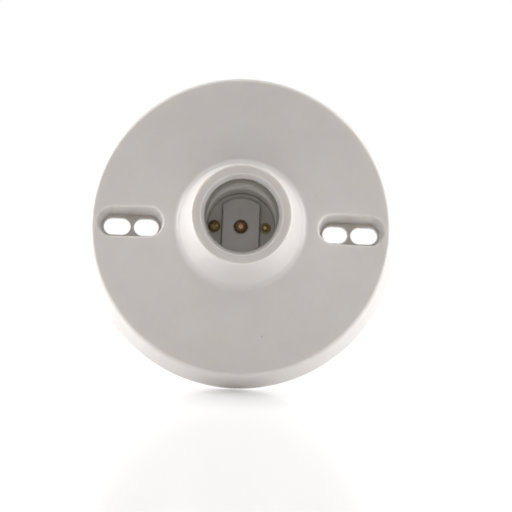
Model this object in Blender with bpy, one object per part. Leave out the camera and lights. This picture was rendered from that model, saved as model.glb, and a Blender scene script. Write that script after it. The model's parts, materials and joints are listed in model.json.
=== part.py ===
# Keyless ceiling lamp holder for a round outlet box, with a medium Edison screw.
# Lengths are in metres. Every piece is modelled with the lamp's axis along its own +Z and
# the mounting plane at Z = 0. One empty then turns the assembly, so that the lamp points
# along -Y and the row of box-screw slots lies along X, as on a wall.

import math

import bmesh
import bpy
from mathutils import Matrix, Vector

MM = 0.001

# Outside form of the moulding
BASE_RADIUS = 57.15 * MM
FACE_RADIUS = 54.3 * MM
FACE_EDGE_HEIGHT = 20.0 * MM
FACE_SLOPE = math.radians(9)
HEIGHT = 50.5 * MM
NECK_FOOT_RADIUS = 22.4 * MM
RING_RADIUS = 17.8 * MM
MOUTH_RADIUS = 14.5 * MM
MOUTH_DEPTH = 4.2 * MM
RIM_ROUND = 0.4 * MM
EDGE_ROUND = 1.6 * MM
NECK_FILLET = 3.2 * MM
RING_ROUND = 0.6 * MM

# Walls of the moulding
WALL = 2.6 * MM
RIM_LAND = 3.0 * MM
BLOCK_WALL = 6.4 * MM
TRAY_WALL = 2.0 * MM
TRAY_DEPTH = 3.0 * MM
FLOOR_WALL = 7.0 * MM
RIB_WIDTH = 2.0 * MM
RIB_COUNT = 4
RIB_RISE = 1.2 * MM
INNER_ROUND = 1.2 * MM

# Edison screw shell, rolled from sheet
THREAD_MAJOR_RADIUS = 13.2 * MM
THREAD_MINOR_RADIUS = 12.25 * MM
THREAD_PITCH = 25.4 / 7 * MM
THREAD_LENGTH = 18.0 * MM
THREAD_RUN_IN = 1.8 * MM
THREAD_RUN_OUT = 1.2 * MM
SHELL_PLAIN_RADIUS = 12.4 * MM
SHELL_SHEET = 0.25 * MM
SHELL_INSET = 4.2 * MM
SHELL_CORNER = 0.8 * MM
SHELL_FLOOR_HEIGHT = 17.7 * MM
THREAD_START_ANGLE = math.radians(64.5)

# Bar across the socket floor, with the centre contact in its middle
BAR_WIDTH = 13.3 * MM
BAR_END_RADIUS = 10.4 * MM
BAR_ABOVE_SHELL = 1.9 * MM
BAR_CROWN = 3.0 * MM
BAR_EDGE = 0.6 * MM

# Box-screw pockets and slots
BOX_SCREW_INNER_RADIUS = 34.5 * MM
BOX_SCREW_OUTER_RADIUS = 45.1 * MM
INNER_SLOT_LENGTH = 9.0 * MM
OUTER_SLOT_LENGTH = 9.8 * MM
SLOT_WIDTH = 6.2 * MM
POCKET_LENGTH = 23.6 * MM
POCKET_WIDTH = 10.5 * MM
POCKET_FLOOR_HEIGHT = 8.4 * MM
POCKET_FLOOR_WALL = 2.8 * MM
POCKET_DRAFT = 1.0 * MM
POCKET_LIP = 0.6 * MM
POCKET_WALL = 2.2 * MM

# Centre contact
CONTACT_RADIUS = 2.4 * MM
CONTACT_PROUD = 1.8 * MM
CONTACT_SHOULDER = 0.5 * MM
CONTACT_FLANGE_RADIUS = 3.7 * MM
CONTACT_FLANGE = 0.8 * MM
CONTACT_TAIL_RADIUS = 1.0 * MM
CONTACT_TAIL = 1.6 * MM

# Screw and rivet that hold the shell
SHELL_SCREW_OFFSET = 9.6 * MM
SHELL_SCREW_HEAD_RADIUS = 2.15 * MM
SHELL_SCREW_HEAD = 1.8 * MM
SHELL_SCREW_CROWN = 0.8 * MM
SHELL_SHANK_RADIUS = 1.3 * MM
CROSS_REACH = 1.4 * MM
CROSS_WIDTH = 0.7 * MM
CROSS_DEPTH = 1.0 * MM
RIVET_OFFSET = 8.95 * MM
RIVET_FLANGE_RADIUS = 1.95 * MM
RIVET_FLANGE = 0.5 * MM
RIVET_DOME_RADIUS = 1.45 * MM
RIVET_DOME = 1.1 * MM
RIVET_TAIL_RADIUS = 2.1 * MM
RIVET_TAIL = 1.1 * MM
NUT_ACROSS_FLATS = 5.0 * MM
NUT_HEIGHT = 1.8 * MM
WASHER_RADIUS = 2.6 * MM
WASHER_SHEET = 0.5 * MM

# Terminals on the back
TERMINAL_RADIUS = 26.0 * MM
TERMINAL_SHEET = 0.8 * MM
TERMINAL_WIDTH = 7.0 * MM
TERMINAL_CORNER = 1.0 * MM
TERMINAL_OVERHANG = 4.6 * MM
EAR_OVERHANG = 7.0 * MM
LEAF_SHEET = 0.4 * MM
LEAF_WIDTH = 5.0 * MM
LEAF_SCREW_RADIUS = 13.0 * MM
LEAF_END_OVERHANG = 3.4 * MM
LEAF_SCREW_HEAD_RADIUS = 2.6 * MM
LEAF_SCREW_HEAD = 1.6 * MM
LEAF_SCREW_SHANK_RADIUS = 1.3 * MM
LEAF_SCREW_LENGTH = 4.6 * MM
YOKE_ARM_WIDTH = 6.3 * MM
YOKE_ARM_OFFSET = 9.4 * MM
YOKE_BRIDGE_RADIUS = 6.7 * MM
YOKE_TIP_ROUND = 3.1 * MM
YOKE_SHOULDER_ROUND = 5.0 * MM
CLAMP_SIDE = 9.4 * MM
CLAMP_SHEET = 0.8 * MM
CLAMP_LIP = 0.9 * MM
TERMINAL_HEAD_RADIUS = 3.5 * MM
TERMINAL_HEAD_HEIGHT = 2.3 * MM
TERMINAL_SHANK_RADIUS = 1.75 * MM
TERMINAL_SCREW_LENGTH = 7.5 * MM
SCREW_HEAD_ROUND = 0.9 * MM
SCREW_END_ROUND = 0.6 * MM
DRIVER_SLOT = 1.0 * MM
DRIVER_SLOT_DEPTH = 1.1 * MM

# Clearances
STACK_GAP = 0.2 * MM
SHELL_GAP = 0.1 * MM
HOLE_GAP = 0.3 * MM
TRAY_GAP = 1.0 * MM
CUT_OVERRUN = 3.0 * MM

# Facets
BODY_FACETS = 60
SHELL_FACETS = 28
SMALL_FACETS = 16
HOLE_FACETS = 16
THREAD_ROWS_PER_TURN = 5
ARC_STEPS = 3
SHARP_ANGLE = math.radians(35)

# Heights and radii that follow from the sizes above
shell_top = HEIGHT - SHELL_INSET
shell_floor_top = SHELL_FLOOR_HEIGHT + SHELL_SHEET
socket_floor = SHELL_FLOOR_HEIGHT - STACK_GAP
bore_radius = THREAD_MAJOR_RADIUS + SHELL_SHEET + SHELL_GAP
block_radius = bore_radius + BLOCK_WALL
bar_top = shell_floor_top + BAR_ABOVE_SHELL
channel_top = bar_top - BAR_CROWN
seat_height = socket_floor - FLOOR_WALL
tray_rim = seat_height - TRAY_DEPTH
tray_radius = block_radius - TRAY_WALL
tray_half_width = CLAMP_SIDE / 2 + TRAY_GAP / 2
channel_half_width = CONTACT_FLANGE_RADIUS + HOLE_GAP
channel_end = LEAF_SCREW_RADIUS - LEAF_SCREW_SHANK_RADIUS - TRAY_GAP
slots_start = BOX_SCREW_INNER_RADIUS - INNER_SLOT_LENGTH / 2
slots_end = BOX_SCREW_OUTER_RADIUS + OUTER_SLOT_LENGTH / 2
pocket_radius = (slots_start + slots_end) / 2
pocket_bottom = POCKET_FLOOR_HEIGHT - POCKET_FLOOR_WALL
strip_top = seat_height - STACK_GAP
strip_back = strip_top - TERMINAL_SHEET
terminal_seat = strip_back - STACK_GAP
clamp_back = terminal_seat - CLAMP_SHEET


def face_height(radius):
    """Height of the outer face at this distance from the lamp's axis."""
    return FACE_EDGE_HEIGHT + (FACE_RADIUS - radius) * math.tan(FACE_SLOPE)


def middle_of_wall(x, y):
    """A height inside the wall of the face, where a boss or a rib is buried."""
    return face_height(math.hypot(x, y)) - WALL / 2


def rounded(corners, steps=ARC_STEPS):
    """Points of a closed outline whose corners (a, b, radius) are rounded by arcs."""
    points = []
    for index, (a, b, radius) in enumerate(corners):
        here = Vector((a, b))
        before = Vector(corners[index - 1][:2]) - here
        after = Vector(corners[(index + 1) % len(corners)][:2]) - here
        if radius == 0:
            points.append(here)
            continue
        half = before.angle(after) / 2
        reach = radius / math.tan(half)
        bisector = (before.normalized() + after.normalized()).normalized()
        centre = here + bisector * (radius / math.sin(half))
        start = here + before.normalized() * reach - centre
        end = here + after.normalized() * reach - centre
        sweep = start.angle_signed(end)
        for step in range(steps + 1):
            turn = Matrix.Rotation(-sweep * step / steps, 2)
            points.append(centre + turn @ start)
    return points


def circle(radius, facets, centre=(0.0, 0.0)):
    """Points of a circle, anticlockwise."""
    turns = [2 * math.pi * step / facets for step in range(facets)]
    return [
        Vector((centre[0] + radius * math.cos(turn), centre[1] + radius * math.sin(turn)))
        for turn in turns
    ]


def rectangle(left, right, near, far):
    """The corners of an upright rectangle, anticlockwise."""
    return [Vector(corner) for corner in ((left, near), (right, near), (right, far), (left, far))]


def obround(length, width, centre, facets=SMALL_FACETS):
    """A slot's outline, with its length along X and half a circle at each end."""
    radius = width / 2
    straight = length / 2 - radius
    points = []
    for step in range(facets // 2 + 1):
        turn = math.pi * step / (facets // 2) - math.pi / 2
        points.append((straight + radius * math.cos(turn), radius * math.sin(turn)))
    points += [(-x, -y) for x, y in points]
    return [Vector((centre[0] + x, centre[1] + y)) for x, y in points]


def principled(name, colour, roughness, metallic=0.0):
    """A material with one colour, roughness and metallic value."""
    made = bpy.data.materials.new(name)
    made.use_nodes = True
    shader = made.node_tree.nodes["Principled BSDF"]
    shader.inputs["Base Color"].default_value = (*colour, 1.0)
    shader.inputs["Roughness"].default_value = roughness
    shader.inputs["Metallic"].default_value = metallic
    made.diffuse_color = (*colour, 1.0)
    return made


def placed(name, bm, material=None, origin=(0, 0, 0)):
    """Turns a bmesh into an object of the assembly, with its origin at the given point."""
    bmesh.ops.remove_doubles(bm, verts=bm.verts, dist=1e-7)
    bmesh.ops.recalc_face_normals(bm, faces=bm.faces)
    bmesh.ops.translate(bm, verts=bm.verts, vec=-Vector(origin))
    mesh = bpy.data.meshes.new(name)
    bm.to_mesh(mesh)
    bm.free()
    mesh.shade_smooth()
    mesh.set_sharp_from_angle(angle=SHARP_ANGLE)
    obj = bpy.data.objects.new(name, mesh)
    obj.parent = assembly
    obj.location = origin
    bpy.context.scene.collection.objects.link(obj)
    if material:
        mesh.materials.append(material)
    return obj


def turned(profile, facets, centre=(0.0, 0.0)):
    """A solid turned about an axis along Z from a closed profile of (radius, height)."""
    bm = bmesh.new()
    corners = [bm.verts.new((radius, 0, height)) for radius, height in profile]
    edges = [
        bm.edges.new((corner, corners[index - 1])) for index, corner in enumerate(corners)
    ]
    bmesh.ops.spin(
        bm,
        geom=corners + edges,
        cent=(0, 0, 0),
        axis=(0, 0, 1),
        angle=2 * math.pi,
        steps=facets,
        use_merge=True,
    )
    bmesh.ops.remove_doubles(bm, verts=bm.verts, dist=1e-7)
    bmesh.ops.dissolve_degenerate(bm, edges=bm.edges, dist=1e-7)
    bmesh.ops.translate(bm, verts=bm.verts, vec=(*centre, 0))
    return bm


def lofted(loops):
    """A solid skinned over loops with the same number of points, capped at both ends."""
    bm = bmesh.new()
    rings = [[bm.verts.new(point) for point in loop] for loop in loops]
    for lower, upper in zip(rings, rings[1:], strict=False):
        for index in range(len(lower)):
            bm.faces.new((lower[index - 1], lower[index], upper[index], upper[index - 1]))
    bm.faces.new(rings[0])
    bm.faces.new(rings[-1])
    return bm


def prism(outline, low, high):
    """A straight solid on an outline. Its ends are heights, or functions of x and y."""

    def height(end, point):
        return end(point.x, point.y) if callable(end) else end

    return lofted(
        [[(point.x, point.y, height(end, point)) for point in outline] for end in (low, high)]
    )


def combine(target, name, bm, operation):
    """Joins a shape to a piece, or cuts it out, and keeps the shape as a hidden helper."""
    helper = placed(name, bm)
    helper.hide_render = True
    helper.display_type = "WIRE"
    modifier = target.modifiers.new(name, "BOOLEAN")
    modifier.operation = operation
    modifier.solver = "EXACT"
    modifier.object = helper


def cut(target, name, bm):
    combine(target, name, bm, "DIFFERENCE")


def join(target, name, bm):
    combine(target, name, bm, "UNION")


def hole(target, name, x, y, radius, low, high):
    """Drills a round hole along Z."""
    cut(target, name, prism(circle(radius, HOLE_FACETS, (x, y)), low, high))


# The moulded body: a flared cup with a coned face, a necked socket and two drafted pockets
def body_profile():
    """Half section of the moulding, from the back rim round the outside to the axis."""
    face_wall = WALL / math.cos(FACE_SLOPE)
    skirt_top_inside = FACE_RADIUS - WALL
    return rounded(
        [
            (BASE_RADIUS, 0, RIM_ROUND),
            (FACE_RADIUS, FACE_EDGE_HEIGHT, EDGE_ROUND),
            (NECK_FOOT_RADIUS, face_height(NECK_FOOT_RADIUS), NECK_FILLET),
            (RING_RADIUS, HEIGHT, RING_ROUND),
            (MOUTH_RADIUS, HEIGHT, 0),
            (bore_radius, HEIGHT - MOUTH_DEPTH, 0),
            (bore_radius, socket_floor, 0),
            (0, socket_floor, 0),
            (0, tray_rim, 0),
            (block_radius, tray_rim, RIM_ROUND),
            (block_radius, face_height(block_radius) - face_wall, INNER_ROUND),
            (skirt_top_inside, face_height(skirt_top_inside) - face_wall, INNER_ROUND),
            (BASE_RADIUS - RIM_LAND, 0, 0),
        ]
    )


def pocket_loops(side):
    """Loops of the drafted pocket, from above the face down to its floor."""
    centre = (side * pocket_radius, 0)

    def loop(grow, height):
        outline = obround(POCKET_LENGTH + 2 * grow, POCKET_WIDTH + 2 * grow, centre)
        return [
            (p.x, p.y, height(math.hypot(p.x, p.y)) if callable(height) else height)
            for p in outline
        ]

    return [
        loop(2 * POCKET_LIP, lambda radius: face_height(radius) + POCKET_LIP),
        loop(0, lambda radius: face_height(radius) - POCKET_LIP),
        loop(-POCKET_DRAFT, POCKET_FLOOR_HEIGHT),
    ]


def build_body():
    """The one-piece moulding, with everything that is moulded into it."""
    body = placed("base_body", turned(body_profile(), BODY_FACETS), moulding)
    half_bar = BAR_WIDTH / 2
    bar_straight = math.sqrt(BAR_END_RADIUS**2 - half_bar**2)
    bar_turn = math.atan2(bar_straight, half_bar)
    bar = bar_outline(BAR_END_RADIUS, half_bar, bar_turn)
    inner_bar = bar_outline(BAR_END_RADIUS - BAR_EDGE, half_bar - BAR_EDGE, bar_turn)
    join(
        body,
        "helper_bar",
        lofted(
            [
                [(p.x, p.y, socket_floor - WALL) for p in bar],
                [(p.x, p.y, bar_top - BAR_EDGE) for p in bar],
                [(p.x, p.y, bar_top) for p in inner_bar],
            ]
        ),
    )
    ear_end = TERMINAL_RADIUS + EAR_OVERHANG
    ear_half = tray_half_width + TRAY_WALL
    for name, side in (("top", 1), ("bottom", -1)):
        ear = rectangle(-ear_half, ear_half, side * (block_radius - TRAY_WALL), side * ear_end)
        join(body, f"helper_ear_{name}", prism(ear, tray_rim, lambda x, y: middle_of_wall(0, y)))
    for index in range(RIB_COUNT):
        turn = math.pi / 4 + 2 * math.pi * index / RIB_COUNT
        join(body, f"helper_rib_{index}", rib(turn))
    for name, side in (("right", 1), ("left", -1)):
        well = obround(
            POCKET_LENGTH + 2 * (POCKET_WALL - POCKET_DRAFT),
            POCKET_WIDTH + 2 * (POCKET_WALL - POCKET_DRAFT),
            (side * pocket_radius, 0),
        )
        join(body, f"helper_well_{name}", prism(well, pocket_bottom, middle_of_wall))
    cut(body, "helper_tray", prism(circle(tray_radius, BODY_FACETS), -CUT_OVERRUN, seat_height))
    for name, side in (("top", 1), ("bottom", -1)):
        arm = rectangle(-tray_half_width, tray_half_width, 0, side * (ear_end + CUT_OVERRUN))
        cut(body, f"helper_tray_{name}", prism(arm, -CUT_OVERRUN, seat_height))
        hole(
            body,
            f"helper_terminal_hole_{name}",
            0,
            side * TERMINAL_RADIUS,
            TERMINAL_SHANK_RADIUS + HOLE_GAP,
            seat_height - CUT_OVERRUN,
            terminal_seat + TERMINAL_SCREW_LENGTH,
        )
    channel_start = -CONTACT_FLANGE_RADIUS - TRAY_GAP
    leaf_room = rectangle(-channel_half_width, channel_half_width, channel_start, channel_end)
    cut(body, "helper_leaf_channel", prism(leaf_room, seat_height - CUT_OVERRUN, channel_top))
    hole(
        body,
        "helper_contact_hole",
        0,
        0,
        CONTACT_RADIUS + HOLE_GAP,
        channel_top - CUT_OVERRUN,
        bar_top + CUT_OVERRUN,
    )
    hole(
        body,
        "helper_leaf_screw_hole",
        0,
        LEAF_SCREW_RADIUS,
        LEAF_SCREW_SHANK_RADIUS + HOLE_GAP,
        seat_height - CUT_OVERRUN,
        seat_height + LEAF_SCREW_LENGTH,
    )
    for name, x in (("right", RIVET_OFFSET), ("left", -SHELL_SCREW_OFFSET)):
        hole(
            body,
            f"helper_shell_hole_{name}",
            x,
            0,
            SHELL_SHANK_RADIUS + HOLE_GAP,
            seat_height - CUT_OVERRUN,
            socket_floor + CUT_OVERRUN,
        )
    for name, side in (("right", 1), ("left", -1)):
        cut(body, f"helper_pocket_{name}", lofted(pocket_loops(side)))
        slots = (
            ("inner", BOX_SCREW_INNER_RADIUS, INNER_SLOT_LENGTH),
            ("outer", BOX_SCREW_OUTER_RADIUS, OUTER_SLOT_LENGTH),
        )
        for place, radius, length in slots:
            outline = obround(length, SLOT_WIDTH, (side * radius, 0), HOLE_FACETS)
            low = pocket_bottom - CUT_OVERRUN
            high = POCKET_FLOOR_HEIGHT + CUT_OVERRUN
            cut(body, f"helper_slot_{name}_{place}", prism(outline, low, high))


def bar_outline(end_radius, half_width, turn):
    """The bar's plan: straight sides, and ends that are arcs about the lamp's axis."""
    points = []
    for side in (1, -1):
        for step in range(2 * ARC_STEPS + 1):
            sweep = turn + (math.pi - 2 * turn) * step / (2 * ARC_STEPS)
            x = min(max(end_radius * math.cos(sweep), -half_width), half_width)
            points.append(Vector((side * x, side * end_radius * math.sin(sweep))))
    return points


def rib(turn):
    """A stiffening rib under the face, from the socket block to the skirt."""
    outer = FACE_RADIUS - WALL / 2
    side_view = [
        (tray_radius, seat_height),
        (outer, seat_height + RIB_RISE),
        (outer, middle_of_wall(outer, 0)),
        (tray_radius, middle_of_wall(tray_radius, 0)),
    ]
    bm = lofted(
        [[(radius, y, height) for radius, height in side_view] for y in (-RIB_WIDTH / 2, RIB_WIDTH / 2)]
    )
    bmesh.ops.rotate(bm, verts=bm.verts, cent=(0, 0, 0), matrix=Matrix.Rotation(turn, 3, "Z"))
    return bm


# The screw shell: a drawn cup with a rolled thread and a window over the bar
def thread_radius(height, turn):
    """Inner radius of the shell's wall at this height and angle."""
    start = smooth_step((height - shell_top + THREAD_LENGTH) / THREAD_RUN_IN)
    end = smooth_step((shell_top - height) / THREAD_RUN_OUT)
    plain = SHELL_PLAIN_RADIUS if start < 1 else THREAD_MAJOR_RADIUS
    middle = (THREAD_MAJOR_RADIUS + THREAD_MINOR_RADIUS) / 2
    swing = (THREAD_MAJOR_RADIUS - THREAD_MINOR_RADIUS) / 2
    phase = 2 * math.pi * (height - shell_top) / THREAD_PITCH - (turn - THREAD_START_ANGLE)
    return plain + (middle - plain + swing * math.cos(phase)) * min(start, end)


def smooth_step(share):
    """Rises from 0 to 1 with no corner at either end."""
    share = min(max(share, 0.0), 1.0)
    return share * share * (3 - 2 * share)


def shell_wall_loop(height, sheet):
    """One loop of the shell's wall: its inner side, or its outer side one sheet further out."""
    turns = [2 * math.pi * step / SHELL_FACETS for step in range(SHELL_FACETS)]
    radii = [thread_radius(height, turn) + sheet for turn in turns]
    return [
        (radius * math.cos(turn), radius * math.sin(turn), height)
        for radius, turn in zip(radii, turns, strict=True)
    ]


def build_shell():
    """The rolled shell. Its floor has a window for the bar and two holes for fasteners."""
    rows = round(THREAD_LENGTH / THREAD_PITCH * THREAD_ROWS_PER_TURN)
    thread_bottom = shell_top - THREAD_LENGTH
    heights = [shell_top - THREAD_LENGTH * row / rows for row in range(rows + 1)]
    heights.append((thread_bottom + shell_floor_top + SHELL_CORNER) / 2)
    inside = [shell_wall_loop(height, 0) for height in heights]
    outside = [shell_wall_loop(height, SHELL_SHEET) for height in heights]
    for step in range(ARC_STEPS + 1):
        turn = math.pi / 2 * step / ARC_STEPS
        centre = SHELL_PLAIN_RADIUS - SHELL_CORNER
        for loops, corner in ((inside, SHELL_CORNER), (outside, SHELL_CORNER + SHELL_SHEET)):
            radius = centre + corner * math.cos(turn)
            height = shell_floor_top + SHELL_CORNER - corner * math.sin(turn)
            loops.append([(p.x, p.y, height) for p in circle(radius, SHELL_FACETS)])
    bm = lofted(list(reversed(outside)) + inside)
    shell = placed("screw_shell", bm, aluminium)
    window_half = BAR_WIDTH / 2 + HOLE_GAP
    window_end = BAR_END_RADIUS + HOLE_GAP
    turn = math.acos(window_half / window_end)
    window = bar_outline(window_end, window_half, turn)
    low = SHELL_FLOOR_HEIGHT - CUT_OVERRUN
    high = shell_floor_top + CUT_OVERRUN
    cut(shell, "helper_window", prism(window, low, high))
    for name, x in (("right", RIVET_OFFSET), ("left", -SHELL_SCREW_OFFSET)):
        hole(
            shell,
            f"helper_shell_floor_hole_{name}",
            x,
            0,
            SHELL_SHANK_RADIUS + HOLE_GAP,
            low,
            high,
        )


# The centre contact: a domed button that stands through the bar, with a flange behind it
def dome(radius, edge, rise, steps=4):
    """Profile points of a spherical cap from its edge to the axis. A rise below 0 faces back."""
    sphere = (radius**2 + rise**2) / (2 * rise)
    reach = math.atan2(radius, abs(sphere) - abs(rise))
    turns = [reach * (1 - step / steps) for step in range(steps + 1)]
    return [
        (abs(sphere) * math.sin(turn), edge + rise - sphere * (1 - math.cos(turn)))
        for turn in turns
    ]


def build_contact():
    """The button, free to be pressed back by a lamp cap."""
    flange_top = channel_top - STACK_GAP
    flange_back = flange_top - CONTACT_FLANGE
    shoulder = bar_top + CONTACT_SHOULDER
    profile = [
        (0, flange_back - CONTACT_TAIL),
        (CONTACT_TAIL_RADIUS, flange_back - CONTACT_TAIL),
        (CONTACT_TAIL_RADIUS, flange_back),
        (CONTACT_FLANGE_RADIUS, flange_back),
        (CONTACT_FLANGE_RADIUS, flange_top),
        (CONTACT_RADIUS, flange_top),
        *dome(CONTACT_RADIUS, shoulder, CONTACT_PROUD - CONTACT_SHOULDER),
    ]
    placed("centre_contact", turned(profile, SMALL_FACETS), brass, (0, 0, bar_top))


# The leaf spring that pushes the button forward and carries the current to it
def build_leaf():
    """A strip bent down its length: a root on the line terminal and a tip behind the button."""
    tip_top = channel_top - 2 * STACK_GAP - CONTACT_FLANGE
    root_top = strip_back - STACK_GAP
    root_end = LEAF_SCREW_RADIUS + LEAF_END_OVERHANG
    bend = channel_end - TRAY_GAP
    tip_bend = CONTACT_FLANGE_RADIUS
    tip_end = -CONTACT_FLANGE_RADIUS + TRAY_GAP
    slope = math.atan2(tip_top - root_top, bend - tip_bend)
    shift = LEAF_SHEET * math.tan(slope / 2)
    top = [(root_end, root_top), (bend, root_top), (tip_bend, tip_top), (tip_end, tip_top)]
    back = [
        (tip_end, tip_top - LEAF_SHEET),
        (tip_bend + shift, tip_top - LEAF_SHEET),
        (bend + shift, root_top - LEAF_SHEET),
        (root_end, root_top - LEAF_SHEET),
    ]
    half = LEAF_WIDTH / 2
    bm = lofted([[(x, y, height) for y, height in top + back] for x in (-half, half)])
    leaf = placed("contact_leaf", bm, bronze)
    low = root_top - CUT_OVERRUN
    high = tip_top + CUT_OVERRUN
    tip_bore = CONTACT_TAIL_RADIUS + HOLE_GAP
    root_bore = LEAF_SCREW_SHANK_RADIUS + HOLE_GAP
    hole(leaf, "helper_leaf_tip_hole", 0, 0, tip_bore, low, high)
    hole(leaf, "helper_leaf_root_hole", 0, LEAF_SCREW_RADIUS, root_bore, low, high)


# Screws, nut, washers and rivet
def slotted_screw(name, material, place, seat, head, shank):
    """A screw whose head faces the back. Sizes are head (radius, height), shank (radius, length)."""
    head_radius, head_height = head
    shank_radius, length = shank
    back = seat - head_height
    profile = rounded(
        [
            (0, back, 0),
            (head_radius, back, SCREW_HEAD_ROUND),
            (head_radius, seat, 0),
            (shank_radius, seat, 0),
            (shank_radius, seat + length, SCREW_END_ROUND),
            (0, seat + length, 0),
        ],
        steps=2,
    )
    bm = turned(profile, SMALL_FACETS, place)
    screw = placed(name, bm, material, (*place, seat))
    reach = head_radius + CUT_OVERRUN
    slot = rectangle(-reach, reach, place[1] - DRIVER_SLOT / 2, place[1] + DRIVER_SLOT / 2)
    cut(screw, f"helper_{name}_slot", prism(slot, back - CUT_OVERRUN, back + DRIVER_SLOT_DEPTH))


def build_shell_screw():
    """The cross-recessed screw on the left, with its lock washer and nut on the back."""
    seat = shell_floor_top + STACK_GAP
    washer_back = build_washer("shell_lock_washer", -SHELL_SCREW_OFFSET, steel)
    nut_top = washer_back - STACK_GAP
    nut_back = nut_top - NUT_HEIGHT
    place = (-SHELL_SCREW_OFFSET, 0.0)
    head_top = seat + SHELL_SCREW_HEAD
    profile = [
        (0, nut_back - STACK_GAP),
        (SHELL_SHANK_RADIUS, nut_back - STACK_GAP),
        (SHELL_SHANK_RADIUS, seat),
        (SHELL_SCREW_HEAD_RADIUS, seat),
        *dome(SHELL_SCREW_HEAD_RADIUS, head_top - SHELL_SCREW_CROWN, SHELL_SCREW_CROWN),
    ]
    screw = placed("shell_screw", turned(profile, SMALL_FACETS, place), brass, (*place, seat))
    half = CROSS_WIDTH / 2
    cross = []
    for quarter in range(4):
        turn = Matrix.Rotation(math.pi / 2 * quarter + math.pi / 4, 2)
        corners = (half, -half), (CROSS_REACH, -half), (CROSS_REACH, half)
        cross += [turn @ Vector(corner) + Vector(place) for corner in corners]
    cut(screw, "helper_cross", prism(cross, head_top - CROSS_DEPTH, head_top + CUT_OVERRUN))

    corner_radius = NUT_ACROSS_FLATS / 2 / math.cos(math.pi / 6)
    nut = placed(
        "shell_nut", prism(circle(corner_radius, 6, place), nut_back, nut_top), brass, (*place, nut_top)
    )
    bore = SHELL_SHANK_RADIUS + HOLE_GAP
    hole(nut, "helper_nut_hole", *place, bore, nut_back - CUT_OVERRUN, nut_top + CUT_OVERRUN)


def build_rivet():
    """The rivet on the right, headed over a washer on the back."""
    seat = shell_floor_top + STACK_GAP
    tail_top = build_washer("rivet_washer", RIVET_OFFSET, brass) - STACK_GAP
    place = (RIVET_OFFSET, 0.0)
    profile = [
        *reversed(dome(RIVET_TAIL_RADIUS, tail_top, -RIVET_TAIL)),
        (SHELL_SHANK_RADIUS, tail_top),
        (SHELL_SHANK_RADIUS, seat),
        (RIVET_FLANGE_RADIUS, seat),
        (RIVET_FLANGE_RADIUS, seat + RIVET_FLANGE),
        *dome(RIVET_DOME_RADIUS, seat + RIVET_FLANGE, RIVET_DOME),
    ]
    placed("shell_rivet", turned(profile, SMALL_FACETS, place), brass, (*place, seat))


def build_washer(name, x, material):
    """A flat ring behind the neutral terminal. Returns the height of its back."""
    top = strip_back - STACK_GAP
    back = top - WASHER_SHEET
    bore = SHELL_SHANK_RADIUS + HOLE_GAP
    ring = [(bore, back), (WASHER_RADIUS, back), (WASHER_RADIUS, top), (bore, top)]
    placed(name, turned(ring, SMALL_FACETS, (x, 0.0)), material, (x, 0.0, top))
    return back


# The two terminals on the back
def build_line_terminal():
    """A straight strip from the leaf spring's root to the line screw."""
    half = TERMINAL_WIDTH / 2
    near = channel_end + TRAY_GAP / 2
    far = TERMINAL_RADIUS + TERMINAL_OVERHANG
    corners = [(point.x, point.y, TERMINAL_CORNER) for point in rectangle(-half, half, near, far)]
    drills = [
        (0, LEAF_SCREW_RADIUS, LEAF_SCREW_SHANK_RADIUS),
        (0, TERMINAL_RADIUS, TERMINAL_SHANK_RADIUS),
    ]
    build_strip("line_terminal", rounded(corners), drills, brass)


def build_neutral_terminal():
    """A yoke that joins both shell fasteners and runs on to the neutral screw."""
    half = TERMINAL_WIDTH / 2
    far = -TERMINAL_RADIUS - TERMINAL_OVERHANG
    arm_in = YOKE_ARM_OFFSET - YOKE_ARM_WIDTH / 2
    arm_out = YOKE_ARM_OFFSET + YOKE_ARM_WIDTH / 2
    arm_end = YOKE_ARM_WIDTH / 2
    bridge_back = -YOKE_BRIDGE_RADIUS - YOKE_ARM_WIDTH
    right_side = [
        (half, far, TERMINAL_CORNER),
        (half, bridge_back, TERMINAL_CORNER),
        (arm_out, bridge_back, YOKE_SHOULDER_ROUND),
        (arm_out, arm_end, YOKE_TIP_ROUND),
        (arm_in, arm_end, YOKE_TIP_ROUND),
        (arm_in, -YOKE_BRIDGE_RADIUS, TERMINAL_CORNER),
    ]
    left_side = [(-x, y, radius) for x, y, radius in reversed(right_side)]
    drills = [
        (RIVET_OFFSET, 0, SHELL_SHANK_RADIUS),
        (-SHELL_SCREW_OFFSET, 0, SHELL_SHANK_RADIUS),
        (0, -TERMINAL_RADIUS, TERMINAL_SHANK_RADIUS),
    ]
    build_strip("neutral_terminal", rounded(right_side + left_side), drills, nickel)


def build_strip(name, outline, drills, material):
    """A flat terminal strip, drilled clear of the shanks (x, y, radius) that pass through it."""
    strip = placed(name, prism(outline, strip_back, strip_top), material)
    for index, (x, y, radius) in enumerate(drills):
        low = strip_back - CUT_OVERRUN
        high = strip_top + CUT_OVERRUN
        hole(strip, f"helper_{name}_hole_{index}", x, y, radius + HOLE_GAP, low, high)


def build_clamp(name, side, material):
    """A square clamp under the screw's head, with two lips that hold the wire in."""
    place = (0.0, side * TERMINAL_RADIUS)
    half = CLAMP_SIDE / 2
    inside = half - CLAMP_SHEET
    section = [
        (-half, clamp_back),
        (half, clamp_back),
        (half, terminal_seat + CLAMP_LIP),
        (inside, terminal_seat + CLAMP_LIP),
        (inside, terminal_seat),
        (-inside, terminal_seat),
        (-inside, terminal_seat + CLAMP_LIP),
        (-half, terminal_seat + CLAMP_LIP),
    ]
    bm = lofted([[(x, place[1] + y, height) for x, height in section] for y in (-half, half)])
    clamp = placed(name, bm, material, (*place, terminal_seat))
    hole(
        clamp,
        f"helper_{name}_hole",
        *place,
        TERMINAL_SHANK_RADIUS + HOLE_GAP,
        clamp_back - CUT_OVERRUN,
        terminal_seat + CUT_OVERRUN,
    )


for old in list(bpy.data.objects):
    bpy.data.objects.remove(old, do_unlink=True)

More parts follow.
